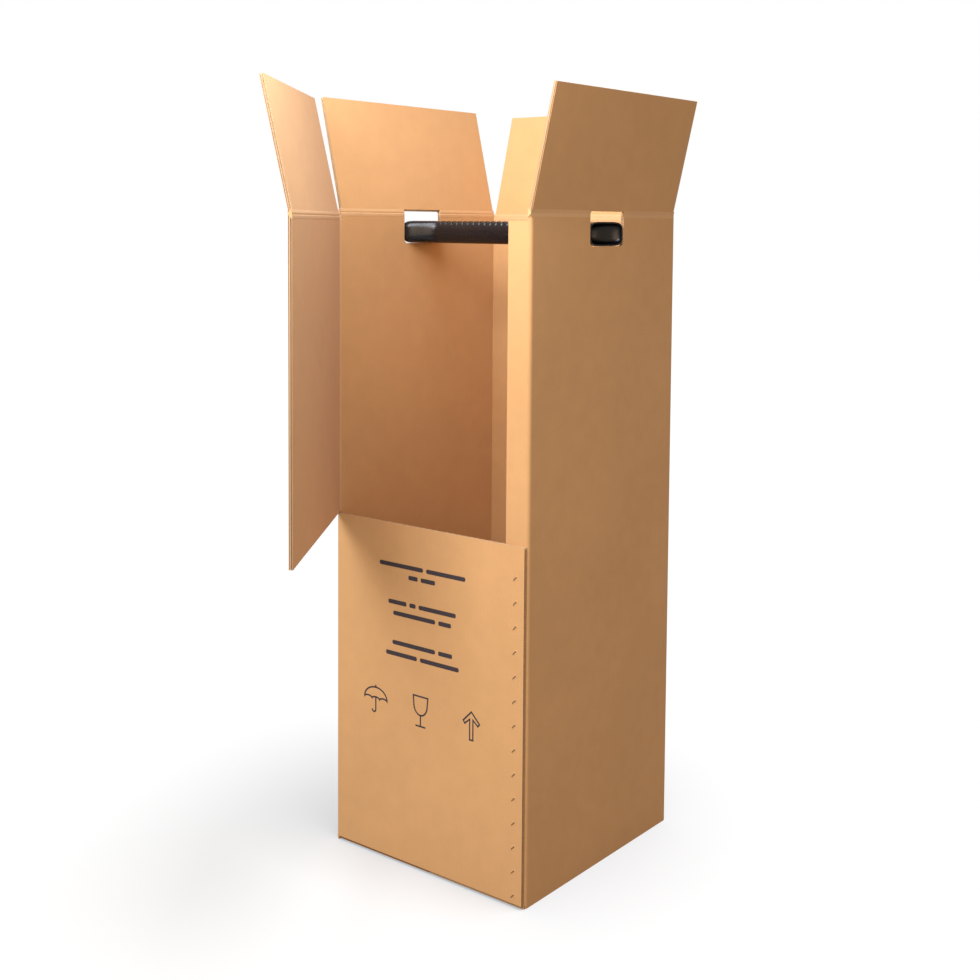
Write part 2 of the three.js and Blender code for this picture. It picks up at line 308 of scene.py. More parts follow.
def inkMaterial():
    # water ink on bare kraft: dark slate, thinner where the paper is rough
    material, tree, shader = newMaterial("printedInk", {"Specular IOR Level": 0.2, "Roughness": 0.85})
    place = addNode(tree, "ShaderNodeTexCoord", (-900, 0))
    stretch = addNode(tree, "ShaderNodeMapping", (-720, 0), {"Scale": (420, 420, 900)})
    mottle = addNode(tree, "ShaderNodeTexNoise", (-540, 0), {"Scale": 1.0, "Detail": 4.0})
    spread = addNode(tree, "ShaderNodeMapRange", (-340, 0), {"From Min": 0.42, "From Max": 0.75})
    darkAndLight = {6: (0.028, 0.028, 0.044, 1), 7: (0.12, 0.085, 0.07, 1)}
    tone = addNode(tree, "ShaderNodeMix", (-150, 100), darkAndLight, data_type="RGBA")
    link = tree.links.new
    link(place.outputs["Object"], stretch.inputs["Vector"])
    link(stretch.outputs["Vector"], mottle.inputs["Vector"])
    link(mottle.outputs["Fac"], spread.inputs["Value"])
    link(spread.outputs["Result"], tone.inputs["Factor"])
    link(tone.outputs[2], shader.inputs["Base Color"])
    return material


print("stage: materials")
paperGroup = makePaperGroup()
linerPaper = paperMaterial("kraftLiner", kraftSettings["outer"], 1.0, True)
mediumPaper = paperMaterial("flutingMedium", kraftSettings["medium"], 0.0, True)
creasePaper = paperMaterial("creasedLiner", kraftSettings["crease"], 0.0, False)
railPlastic = plasticMaterial()
wireMetal = wireMaterial()
printInk = inkMaterial()


def addSheet(stations, place, thickness, material):
    # one paper sheet: a strip of grid, laid along the stations, then given its thickness
    clearSelection()
    columns = len(stations) - 1
    bpy.ops.mesh.primitive_grid_add(x_subdivisions=columns, y_subdivisions=1, size=2)
    sheet = bpy.context.active_object
    mesh = sheet.data
    flat = []
    for vertex in mesh.vertices:
        column = round((vertex.co.x + 1) / 2 * columns)
        point, across = place(stations[column], vertex.co.y > 0)
        vertex.co = point
        flat.append(across)
    layer = mesh.uv_layers.active
    for loop in mesh.loops:
        layer.data[loop.index].uv = flat[loop.vertex_index]
    mesh.materials.append(material)
    thicken(sheet, thickness)
    return sheet


def corrugated(name, path, span, low, high, keys=(), matrix=Matrix.Identity(4), uvShift=0.0):
    # board along a path: path(s, depth) gives x, y; low and high give the cut edges' heights
    settings = boardSettings
    layers = [
        (settings["liner"] / 2, None, settings["liner"], linerPaper),
        (settings["outerFlute"]["middle"], settings["outerFlute"], settings["medium"], mediumPaper),
        (settings["middleLiner"], None, settings["liner"], mediumPaper),
        (settings["innerFlute"]["middle"], settings["innerFlute"], settings["medium"], mediumPaper),
        (settings["thickness"] - settings["liner"] / 2, None, settings["liner"], linerPaper),
    ]
    sheets = []
    for middle, flute, thickness, material in layers:
        start, end = span(middle * mm)
        step = flute["pitch"] / settings["stepsPerFlute"] if flute else settings["linerStep"]
        count = max(int(round((end - start) / (step * mm))), 2)
        stations = [start + (end - start) * index / count for index in range(count + 1)]
        stations += [key for key in keys if start < key < end]
        stations.sort()

        def place(s, top):
            depth = middle * mm
            if flute:
                depth += flute["swing"] * mm * math.sin(2 * math.pi * s / (flute["pitch"] * mm))
            x, y = path(s, depth)
            z = high(s, depth) if top else low(s, depth)
            return matrix @ Vector((x, y, z)), (s + uvShift, z)

        sheets.append(addSheet(stations, place, thickness * mm, material))
    return joinPieces(sheets, name)


# Torn perforation: the slit's straight edge, with a ragged stub of paper where each bridge was

tearSettings = {"pitch": 15.0, "bridge": 4.2, "slit": 2.6, "clear": 0.6, "fray": 0.35, "step": 0.9}


def tornHeight(x, depth, direction):
    # x runs from the left corner; the wall's stub and the door's leave room for each other
    settings = tearSettings
    pitch = settings["pitch"] * mm
    number = math.floor(x / pitch)
    middle = (number + 0.5 + 0.10 * (noise(number, 3) - 0.5)) * pitch
    halfBridge = settings["bridge"] / 2 * mm * (0.7 + 0.5 * noise(number, 5))
    reach = abs(x - middle) / halfBridge
    share = 0.2 + 0.3 * noise(number + round(depth * 1e5) * 0.37, 11)
    tallest = settings["slit"] - settings["clear"] - settings["fray"]
    stub = max(0.0, 1 - reach ** 4) * share * tallest
    roughness = 1.0 if reach < 1.2 else 0.3
    fray = settings["fray"] * noise(round(x * 1e5), 7 + round(depth * 1e4)) * roughness
    return direction * (stub + fray) * mm


def tearKeys(start, end):
    count = int((end - start) / (tearSettings["step"] * mm))
    return [start + (end - start) * index / count for index in range(1, count)]


# Carton: the folded strip of walls, from the lap edge round to the tab, and the shut bottom flaps

cartonSettings = {
    "lapReveal": 3.0,
    "tabWidth": 52.0,
    "foldRadius": 7.6,
    "foldSteps": 6,
    "holeWidth": 118.0,
    "holeRadius": 9.0,
    "bottomFlap": 240.0,
    "bottomSeamOffset": 8.0,
    "bottomSeam": 2.0,
    "sideInset": 6.0,
    "endInset": 8.0,
    "doorSlit": 2.6,
    "hingeMargin": 20.0,
    "bottomClearance": 1.5,
}
foldRadius = cartonSettings["foldRadius"] * mm
hingeMargin = cartonSettings["hingeMargin"] * mm
lapEdge = right - cartonSettings["lapReveal"] * mm
tabFace = front + board + boardGap
tabEdge = right - cartonSettings["tabWidth"] * mm
tabTop = endCrease - board - boardGap
sill = doorLow.z + 1.0 * mm - cartonSettings["doorSlit"] * mm
holeBottom = railLow.z - 0.3 * mm
innerFloor = board + boardGap
holeHalf = cartonSettings["holeWidth"] * mm / 2
holeRadius = cartonSettings["holeRadius"] * mm
middleY = (front + back) / 2
wide, deep = right - left, back - front


def holeEdge(along):
    # height of the hand-hole's lower edge, or None beside the hole
    across = abs(along - middleY)
    if across >= holeHalf:
        return None
    intoCorner = across - (holeHalf - holeRadius)
    if intoCorner <= 0:
        return holeBottom
    return holeBottom + holeRadius - math.sqrt(holeRadius ** 2 - intoCorner ** 2)


def cornerPoint(corner, inwardX, inwardY, part, depth, reverse):
    # a point on a rounded fold: part runs from 0 on the first wall to 1 on the second
    centre = Vector((corner[0] + inwardX * foldRadius, corner[1] + inwardY * foldRadius))
    angle = part * math.pi / 2
    alongX, alongY = math.sin(angle), math.cos(angle)
    if reverse:
        alongX, alongY = alongY, alongX
    reach = foldRadius - depth
    return centre.x - inwardX * reach * alongX, centre.y - inwardY * reach * alongY


def wallStrip(stops):
    # stops: straight runs and folds in order, each with its length and its point function
    lengths = [stop[0] for stop in stops]
    starts = [sum(lengths[:index]) for index in range(len(lengths) + 1)]

    def path(s, depth):
        for index, (length, point) in enumerate(stops):
            if s <= starts[index + 1] or index == len(stops) - 1:
                return point((s - starts[index]) / length, depth)

    keys = []
    for start, length in zip(starts, lengths):
        keys += [start, start + justPast]
        if length < hingeMargin:
            steps = cartonSettings["foldSteps"]
            keys += [start + length * step / steps for step in range(1, steps)]
    return path, starts, keys


def holeKeys(middle, radius):
    # stations round both ends of a hand-hole
    keys = []
    for side in (-1, 1):
        edge = middle + side * holeHalf
        keys += [edge - side * radius * (1 - math.cos(math.radians(turn))) for turn in range(0, 91, 15)]
        keys.append(edge + side * justPast)
    return keys


def straight(start, end, inward):
    def point(part, depth):
        x = start[0] + (end[0] - start[0]) * part + inward[0] * depth
        y = start[1] + (end[1] - start[1]) * part + inward[1] * depth
        return x, y
    return math.dist(start, end), point


def fold(corner, inwardX, inwardY, reverse):
    def point(part, depth):
        return cornerPoint(corner, inwardX, inwardY, part, depth, reverse)
    return foldRadius * math.pi / 2, point


def buildFrontStrip():
    # the lower front wall and its fold into the left wall, up to the sill
    stops = [
        straight((lapEdge, front), (left + foldRadius, front), (0, 1)),
        fold((left, front), 1, 1, False),
        straight((left, front + foldRadius), (left, front + hingeMargin), (1, 0)),
    ]
    path, starts, keys = wallStrip(stops)
    keys += tearKeys(0, starts[2])

    def low(s, depth):
        return innerFloor if s < starts[1] else 0.0

    def high(s, depth):
        return sill + tornHeight(lapEdge - left - s, depth, 1) if s < starts[1] else sill
    return corrugated("cartonFront", path, lambda depth: (0, starts[-1]), low, high, keys)


def buildHingeStrip():
    # the left wall's front margin above the sill, mitred at the door's crease
    def path(s, depth):
        return left + depth, front + max(s, depth)

    def span(depth):
        return depth, hingeMargin

    def low(s, depth):
        return sill

    def high(s, depth):
        return sideCrease - depth
    return corrugated("cartonHinge", path, span, low, high, uvShift=0.55)


def buildWalls():
    stops = [
        straight((left, front + hingeMargin), (left, back - foldRadius), (1, 0)),
        fold((left, back), 1, -1, True),
        straight((left + foldRadius, back), (right - foldRadius, back), (0, -1)),
        fold((right, back), -1, -1, False),
        straight((right, back - foldRadius), (right, tabFace + foldRadius), (-1, 0)),
        fold((right, tabFace), -1, 1, True),
        straight((right - foldRadius, tabFace), (tabEdge, tabFace), (0, 1)),
    ]
    path, starts, keys = wallStrip(stops)
    keys += holeKeys(starts[0] + middleY - (front + hingeMargin), holeRadius)
    keys += holeKeys(starts[4] + back - foldRadius - middleY, holeRadius)

    def low(s, depth):
        if s > starts[6]:
            return innerFloor + board + boardGap
        if starts[2] < s < starts[3]:
            return innerFloor
        return 0.0

    def high(s, depth):
        if s > starts[6]:
            return tabTop
        if starts[2] < s < starts[3]:
            return endCrease - depth
        if s < starts[1] or starts[4] < s < starts[5]:
            edge = holeEdge(path(s, 0)[1])
            if edge is not None:
                return edge
        return sideCrease - depth
    return corrugated("cartonWalls", path, lambda depth: (0, starts[-1]), low, high, keys, uvShift=0.57)


def flapBoard(name, start, end, low, high, matrix, keys=()):
    # a flat board in its crease's own frame: x along the crease, y inwards, z away from the crease
    def path(s, depth):
        return s, depth

    def span(depth):
        return start, end
    return corrugated(name, path, span, low, high, keys, matrix)


def axesMatrix(origin, alongX, alongY, alongZ):
    matrix = Matrix.Identity(4)
    for column, axis in enumerate((alongX, alongY, alongZ)):
        for row in range(3):
            matrix[row][column] = axis[row]
    matrix.translation = Vector(origin)
    return matrix


def buildBottomFlaps():
    length = cartonSettings["bottomFlap"] * mm
    seam = (left + right) / 2 + cartonSettings["bottomSeamOffset"] * mm
    half = cartonSettings["bottomSeam"] * mm / 2
    side = cartonSettings["sideInset"] * mm
    end = cartonSettings["endInset"] * mm
    down = (0, 0, 1)  # the outer face is below, so the board's depth runs up
    pieces = [
        ("bottomLeft", (left, back, 0), (0, -1, 0), (1, 0, 0), side, deep - side, seam - half - left),
        ("bottomRight", (right, front, 0), (0, 1, 0), (-1, 0, 0), side, deep - side, right - seam - half),
        ("bottomFront", (left, front, innerFloor), (1, 0, 0), (0, 1, 0), end, wide - end, length),
        ("bottomBack", (right, back, innerFloor), (-1, 0, 0), (0, -1, 0), end, wide - end, length),
    ]
    clearance = cartonSettings["bottomClearance"] * mm
    made = []
    for name, origin, alongX, alongZ, start, stop, reach in pieces:
        matrix = axesMatrix(origin, alongX, down, alongZ)

        def low(s, depth):
            return clearance

        def high(s, depth):
            return reach
        made.append(flapBoard(name, start, stop, low, high, matrix))
    return made


def finishPiece(piece, body, slot, *nodes):
    if nodes:
        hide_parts(*nodes)
    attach(piece, body)


print("stage: carton")
cartonPieces = [buildFrontStrip(), buildHingeStrip(), buildWalls()] + buildBottomFlaps()
cartonBoard = joinPieces(cartonPieces, "cartonBoard")
finishPiece(cartonBoard, "carton", "board", "carton_body")

# Door and top flaps

flapSettings = {
    "endTrim": 2.8,
    "length": 240.0,
    "sideInset": 6.0,
    "endInset": 8.0,
    "holeRise": 5.0,
    "holeTopRadius": 4.0,
    "leans": {"left_flap": 13.0, "right_flap": 13.0, "back_flap": 15.0, "front_flap": 12.0},
    "doorOpening": 55.0,
}


def leaned(matrix, degrees):
    return matrix @ Matrix.Rotation(math.radians(degrees), 4, "X")


def flapHole(s):
    across = abs(s - deep / 2)
    radius = flapSettings["holeTopRadius"] * mm
    rise = flapSettings["holeRise"] * mm
    if across >= holeHalf:
        return None
    intoCorner = across - (holeHalf - radius)
    if intoCorner <= 0:
        return rise
    return rise - radius + math.sqrt(radius ** 2 - intoCorner ** 2)


def buildTopFlap(name, node, body, crease, width, inset, holed):
    length = flapSettings["length"] * mm
    matrix = leaned(crease, flapSettings["leans"][node])
    keys = holeKeys(width / 2, flapSettings["holeTopRadius"] * mm) if holed else []

    def low(s, depth):
        if holed:
            edge = flapHole(s)
            if edge is not None:
                return max(edge, boardGap + depth)
        return boardGap + depth

    def high(s, depth):
        return length
    # the board's ends clear the tops of the corner folds when it is shut
    trimmed = inset + flapSettings["endTrim"] * mm
    piece = flapBoard(name, trimmed, width - trimmed, low, high, matrix, keys)
    finishPiece(piece, body, "board", node)


print("stage: door and flaps")
opening = math.radians(flapSettings["doorOpening"])
doorAlong = Vector((math.cos(opening), -math.sin(opening), 0))
doorInward = Vector((math.sin(opening), math.cos(opening), 0))
doorFrame = axesMatrix((left, front, 0), doorAlong, doorInward, (0, 0, 1))
doorWidth = lapEdge - left
doorBottom = sill + cartonSettings["doorSlit"] * mm
doorBoard = corrugated(
    "doorBoard",
    lambda s, depth: (s, depth),
    lambda depth: (boardGap + depth, doorWidth),
    lambda s, depth: doorBottom + tornHeight(s, depth, -1),
    lambda s, depth: endCrease - depth,
    tearKeys(8 * mm, doorWidth),
    doorFrame,
)
finishPiece(doorBoard, "door", "board", "front_door")

sideInset = flapSettings["sideInset"] * mm
endInset = flapSettings["endInset"] * mm
leftFrame = axesMatrix((left, back, sideCrease), (0, -1, 0), (1, 0, 0), (0, 0, 1))
rightFrame = axesMatrix((right, front, sideCrease), (0, 1, 0), (-1, 0, 0), (0, 0, 1))
backFrame = axesMatrix((right, back, endCrease), (-1, 0, 0), (0, -1, 0), (0, 0, 1))
doorFlapFrame = axesMatrix((left, front, endCrease), doorAlong, doorInward, (0, 0, 1))
buildTopFlap("leftFlapBoard", "left_flap", "left_top_flap", leftFrame, deep, sideInset, True)
buildTopFlap("rightFlapBoard", "right_flap", "right_top_flap", rightFrame, deep, sideInset, True)
buildTopFlap("backFlapBoard", "back_flap", "back_top_flap", backFrame, wide, endInset, False)
buildTopFlap("doorFlapBoard", "front_flap", "door_flap", doorFlapFrame, wide, endInset, False)

# Creases: crushed board along each fold, shaped to its flap's lean

creaseSettings = {
    "skin": 0.10,
    "reach": 7.0,
    "lip": 0.5,
    "valley": 0.9,
    "rim": 0.12,
    "bend": 6.0,
    "bendDepth": 0.5,
}


def creaseProfile(lean):
    # outline across the crease, in millimetres: y inwards, z towards the flap
    turn = math.radians(lean)

    def onFlap(y, z):
        return y * math.cos(turn) - z * math.sin(turn), y * math.sin(turn) + z * math.cos(turn)
    skin, reach = creaseSettings["skin"], creaseSettings["reach"]
    lip, valley = creaseSettings["lip"], creaseSettings["valley"]
    thick = boardSettings["thickness"]
    half = math.radians(lean / 2)
    rim = creaseSettings["rim"]
    groove = thick - valley
    return [
        (-skin, -reach),
        (-skin * 1.2, -1.0),
        (-skin * 1.3 * math.cos(half), -skin * 1.3 * math.sin(half)),
        onFlap(-skin * 1.2, 1.0),
        onFlap(-skin, reach),
        onFlap(0.2, reach),
        onFlap(0.4, 1.6),
        onFlap(thick - 0.3, thick + 1.4),
        onFlap(thick + 0.10, thick - 0.4),
        onFlap(thick + rim * 0.35, lip + 2.4),
        onFlap(thick + rim * 0.2, lip + 0.6),
        (groove * math.cos(half), groove * math.sin(half)),
        (thick + rim * 0.3, -lip - 0.2),
        (thick + rim * 0.9, -lip - 1.2),
        (thick + rim, -lip - 2.4),
        (thick + rim * 0.7, -lip - 3.6),
        (thick + 0.1, -thick - 0.4),
        (thick - 0.3, -thick - 1.4),
        (0.4, -1.6),
        (0.2, -reach),
    ]


def buildCrease(name, frameMatrix, start, end, lean):
    profile = creaseProfile(lean)
    count = len(profile)
    clearSelection()
    bpy.ops.mesh.primitive_cylinder_add(vertices=count, radius=1, depth=2, end_fill_type="NGON")
    crease = bpy.context.active_object
    for vertex in crease.data.vertices:
        angle = math.atan2(vertex.co.x, vertex.co.y) % (2 * math.pi)
        number = round(angle / (2 * math.pi) * count) % count
        y, z = profile[number]
        x = end if vertex.co.z > 0 else start
        vertex.co = frameMatrix @ Vector((x, y * mm, z * mm))
    bpy.ops.object.mode_set(mode="EDIT")
    faceOutwards()
    bpy.ops.object.mode_set(mode="OBJECT")
    useSmoothShading()
    crease.name = name
    crease.data.name = name
    crease.data.materials.append(creasePaper)
    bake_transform(crease)


print("stage: creases")
holeStart, holeEnd = deep / 2 - holeHalf, deep / 2 + holeHalf
leans = flapSettings["leans"]
for side, frameMatrix, node, body in (
    ("left", leftFrame, "left_flap", "left_top_flap"),
    ("right", rightFrame, "right_flap", "right_top_flap"),
):
    lean = leans[node]
    buildCrease(side + "CreaseA", frameMatrix, sideInset, holeStart, lean)
    buildCrease(side + "CreaseB", frameMatrix, holeEnd, deep - sideInset, lean)
lean = leans["back_flap"]
buildCrease("backCrease", backFrame, endInset, wide - endInset, lean)
lean = leans["front_flap"]
buildCrease("doorFlapCrease", doorFlapFrame, endInset, doorWidth - 1 * mm, lean)
hingeFrame = axesMatrix((left, front, 0), (0, 0, -1), (1, 0, 0), (0, -1, 0))
hingeTop, hingeFoot = -endCrease + board, -doorBottom - 1 * mm
hingeLean = flapSettings["doorOpening"] - 90
buildCrease("doorHingeCrease", hingeFrame, hingeTop, hingeFoot, hingeLean)

# Hanging rail: a hollow moulding with wide ends and low ribs over its top

railSettings = {
    "width": 37.0,
    "flareWidth": 114.0,
    "flareLength": 62.0,
    "wall": 2.5,
    "roundness": 2.6,
    "endRoundness": 4.5,
    "around": 64,
    "step": 1.5,
    "ribPitch": 15.0,
    "ribWidth": 3.4,
    "ribRise": 1.3,
    "ribMargin": 66.5,
    "ribClear": 4.0,
    "ribTop": 0.8,
    "ribFlank": 0.9,
    "ribFrom": 0.50,
    "ribFade": 0.12,
    "lowerFrom": 45.0,
    "lowerOver": 20.0,
    "belt": 1.1,
    "beltDrop": 0.22,
    "beltFade": 0.10,
    "beltFrom": 30.0,
    "beltOver": 40.0,
}
railLength = railHigh.x - railLow.x
railMiddle = (railLow.z + railHigh.z) / 2
railHalfHeight = (railHigh.z - railLow.z) / 2


def railHalfWidth(fromEnd):
    settings = railSettings
    along = smoothStep(fromEnd / (settings["flareLength"] * mm))
    return (settings["flareWidth"] + (settings["width"] - settings["flareWidth"]) * along) * mm / 2


def ribLift(x, turn):
    # how far a rib stands out at this place
    settings = railSettings
    fromEnd = min(x, railLength - x)
    if fromEnd < (settings["ribMargin"] - settings["ribClear"]) * mm:
        return 0.0
    pitch = settings["ribPitch"] * mm
    offset = x - settings["ribMargin"] * mm
    near = abs(offset - round(offset / pitch) * pitch)
    across = 1 - smoothStep((near - settings["ribTop"] * mm) / (settings["ribFlank"] * mm))
    overTop = smoothStep((math.sin(turn) - settings["ribFrom"]) / settings["ribFade"])
    return across * overTop * settings["ribRise"] * mm


def beltDepth(fromEnd, turn):
    # how far the lower half of the bar is drawn in, away from its ends
    settings = railSettings
    below = smoothStep((-math.sin(turn) - settings["beltDrop"]) / settings["beltFade"])
    inner = smoothStep((fromEnd - settings["beltFrom"] * mm) / (settings["beltOver"] * mm))
    return settings["belt"] * mm * below * inner


def buildRail():
    settings = railSettings
    columns = int(railLength / (settings["step"] * mm))
    rows = settings["around"]
    clearSelection()
    bpy.ops.mesh.primitive_grid_add(x_subdivisions=columns, y_subdivisions=rows, size=2)
    rail = bpy.context.active_object
    for vertex in rail.data.vertices:
        x = (vertex.co.x + 1) / 2 * railLength
        turn = (vertex.co.y + 1) * math.pi
        fromEnd = min(x, railLength - x)
        inner = smoothStep((fromEnd - settings["lowerFrom"] * mm) / (settings["lowerOver"] * mm))
        lowered = settings["ribRise"] * mm * inner
        lift = ribLift(x, turn) - lowered
        drop = lowered / 2
        belt = beltDepth(fromEnd, turn)
        c, s = math.cos(turn), math.sin(turn)
        along = smoothStep(fromEnd / (settings["flareLength"] * mm))
        power = 2 / (settings["endRoundness"] + (settings["roundness"] - settings["endRoundness"]) * along)
        halfWidth = railHalfWidth(fromEnd) + lift - belt
        halfHeight = railHalfHeight + lift + drop
        y = math.copysign(abs(c) ** power, c) * halfWidth
        z = math.copysign(abs(s) ** power, s) * halfHeight - drop
        vertex.co = (railLow.x + x, middleY + y, railMiddle + z)
    bpy.ops.object.mode_set(mode="EDIT")
    bpy.ops.mesh.select_all(action="SELECT")
    bpy.ops.mesh.remove_doubles(threshold=0.00001)
    faceOutwards()
    bpy.ops.object.mode_set(mode="OBJECT")
    thicken(rail, settings["wall"] * mm, -1)
    useSmoothShading()
    rail.name = "railMoulding"
    rail.data.materials.append(railPlastic)
    finishPiece(rail, "carton", "rail", "hanging_rail")


print("stage: rail")
buildRail()

# Wire stitches down the lap

stitchSettings = {
    "count": 14,
    "length": 13.0,
    "wire": 0.8,
    "width": 1.8,
    "tilt": 45.0,
    "pucker": {"reach": 3.4, "round": 0.62, "long": 1.75, "rise": 0.55},
}


def ribbonAlong(route, width, thick, matrix, name, material):
    # a closed bar of eight-sided section along a route of (s, y) points, its width along z
    clearSelection()
    columns = len(route) - 1
    sides = 8
    bpy.ops.mesh.primitive_grid_add(x_subdivisions=columns, y_subdivisions=sides, size=2)
    bar = bpy.context.active_object
    for vertex in bar.data.vertices:
        number = round((vertex.co.x + 1) / 2 * columns)
        turn = (vertex.co.y + 1) * math.pi
        before = Vector(route[max(number - 1, 0)])
        after = Vector(route[min(number + 1, columns)])
        along = (after - before).normalized()
        normal = Vector((-along.y, along.x))
        c, s = math.cos(turn), math.sin(turn)
        outwards = math.copysign(abs(c) ** 0.7, c) * thick / 2
        sideways = math.copysign(abs(s) ** 0.7, s) * width / 2
        point = Vector(route[number]) + normal * outwards
        vertex.co = matrix @ Vector((point.x, point.y, sideways))
    bpy.ops.object.mode_set(mode="EDIT")
    bpy.ops.mesh.select_all(action="SELECT")
    bpy.ops.mesh.remove_doubles(threshold=0.000001)
    bpy.ops.mesh.select_all(action="DESELECT")
    bpy.ops.mesh.select_non_manifold()
    bpy.ops.mesh.edge_face_add()
    faceOutwards()
    bpy.ops.object.mode_set(mode="OBJECT")
    useSmoothShading()
    bar.name = name
    bar.data.materials.append(material)
    return bar


def buildStitches():
    for number in range(1, stitchSettings["count"] + 1):
        node = f"stitch_{number:02d}"
        low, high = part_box(node)
        middle = ((low.x + high.x) / 2, front, (low.z + high.z) / 2)
        matrix = Matrix.Translation(middle) @ Matrix.Rotation(-math.radians(stitchSettings["tilt"]), 4, "Y")
        half = stitchSettings["length"] * mm / 2
        wire = stitchSettings["wire"] * mm
        through = high.y - wire - front
        route = [
            (-1.2 * mm, through + wire / 2),
            (-half + 1.6 * mm, through + wire / 2),
            (-half + 0.7 * mm, through + wire * 0.2),
            (-half + wire / 2, through - 0.8 * mm),
            (-half + wire / 2, 1.2 * mm),
            (-half + 0.7 * wire, 0.1 * mm),
            (-half + 1.5 * wire, -0.30 * wire),
            (-half + 2.6 * wire, -0.45 * wire),
            (half - 2.6 * wire, -0.45 * wire),
            (half - 1.5 * wire, -0.30 * wire),
            (half - 0.7 * wire, 0.1 * mm),
            (half - wire / 2, 1.2 * mm),
            (half - wire / 2, through - 0.8 * mm),
            (half - 0.7 * mm, through + wire * 0.2),
            (half - 1.6 * mm, through + wire / 2),
            (1.2 * mm, through + wire / 2),
        ]
        width = stitchSettings["width"] * mm
        stitch = ribbonAlong(route, width, wire, matrix, f"stitchWire{number:02d}", wireMetal)
        finishPiece(stitch, "carton", "wire", node)


def buildPuckers():
    # the liner's rim round each stitch, where the wire has pulled the paper in
    rims = []
    settings = stitchSettings["pucker"]
    tilt = math.radians(stitchSettings["tilt"])
    for number in range(1, stitchSettings["count"] + 1):
        low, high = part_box(f"stitch_{number:02d}")
        clearSelection()
        bpy.ops.mesh.primitive_torus_add(
            major_segments=36,
            minor_segments=8,
            major_radius=settings["reach"] * mm,
            minor_radius=settings["round"] * mm,
        )
        rim = bpy.context.active_object
        place = Matrix.Translation(((low.x + high.x) / 2, front, (low.z + high.z) / 2))
        turned = Matrix.Rotation(-tilt, 4, "Y") @ Matrix.Rotation(math.pi / 2, 4, "X")
        scaled = Matrix.Diagonal((settings["long"], 1, settings["rise"], 1))
        rim.data.transform(place @ turned @ scaled)
        rim.matrix_world = Matrix.Identity(4)
        bpy.ops.object.shade_smooth()
        rim.data.materials.append(creasePaper)
        rims.append(rim)
    finishPiece(joinPieces(rims, "stitchPuckers"), "carton", "board")


print("stage: stitches")
buildStitches()
buildPuckers()

# Print on the lower front wall: plain bars where lines of words would be, and three handling marks

printSettings = {
    "lift": 0.08,
    "lines": [
        (605.5, ((121, 236), (244, 343))),
        (585.5, ((198, 222), (230, 267))),
        (530.5, ((145, 193), (201, 217), (225, 320))),
        (508.5, ((158, 268), (276, 308))),
        (449.0, ((156, 268), (276, 311))),
        (426.0, ((139, 221), (229, 328))),
    ],
    "tall": 8.6,
    "corner": 2.4,
    "stroke": 3.3,
}


def inkStroke(points, closed=False):
    # a flat ribbon of ink on the front wall through points given in millimetres from the left bottom corner
    stroke = printSettings["stroke"] * mm / 2
    lift = printSettings["lift"] * mm
    clearSelection()
    route = [Vector((left + x * mm, z * mm)) for x, z in points]
    if closed:
        route.append(route[0])
    columns = len(route) - 1
    bpy.ops.mesh.primitive_grid_add(x_subdivisions=columns, y_subdivisions=1, size=2)
    ribbon = bpy.context.active_object
    for vertex in ribbon.data.vertices:
        number = round((vertex.co.x + 1) / 2 * columns)
        before = route[number - 1] if number else (route[-2] if closed else route[0])
        after = route[number + 1] if number < columns else (route[1] if closed else route[-1])
        arriving = (route[number] - before).normalized() if route[number] != before else None
        leaving = (after - route[number]).normalized() if after != route[number] else None
        along = ((arriving or leaving) + (leaving or arriving)).normalized()
        normal = Vector((-along.y, along.x))
        widen = 1 / max(normal.dot(Vector((-(leaving or arriving).y, (leaving or arriving).x))), 0.5)
        point = route[number] + normal * stroke * widen * (1 if vertex.co.y > 0 else -1)
        vertex.co = (point.x, front - lift / 2, point.y)
    thicken(ribbon, lift)
    ribbon.data.materials.append(printInk)
    return ribbon


def arcPoints(centreX, centreZ, radiusX, radiusZ, start, end, steps):
    turns = [math.radians(start + (end - start) * step / steps) for step in range(steps + 1)]
    return [(centreX + radiusX * math.cos(turn), centreZ + radiusZ * math.sin(turn)) for turn in turns]


def buildUmbrella():
    x, z = 111.0, 322.0
    dome = arcPoints(x, z, 31, 24, 180, 0, 18)
    scallops = []
    for number in range(3):
        scallops += arcPoints(x + 31 - 10.33 - number * 20.67, z, 10.33, 4.0, 0, 180, 6)[1:]
    shaft = [(x, z + 4), (x, z - 22)] + arcPoints(x - 5, z - 22, 5, 5, 0, -180, 6)[1:]
    return [inkStroke(dome + scallops[:-1], True), inkStroke(shaft), inkStroke([(x, z + 24), (x, z + 29)])]


def buildGlass():
    x, z = 231.0, 325.0
    bowl = [(x - 19, z + 28)] + arcPoints(x, z + 12, 17.5, 22, 180, 360, 14) + [(x + 19, z + 28)]
    return [
        inkStroke(bowl, True),
        inkStroke([(x, z - 9), (x, z - 31)]),
        inkStroke([(x - 13, z - 32), (x + 13, z - 32)]),
    ]


def buildArrow():
    x, z = 360.0, 325.0
    outline = [
        (x - 4, z - 28), (x - 4, z + 12), (x - 16, z + 2), (x - 20, z + 7), (x, z + 27),
        (x + 20, z + 7), (x + 16, z + 2), (x + 4, z + 12), (x + 4, z - 28),
    ]
    return [inkStroke(outline, True)]


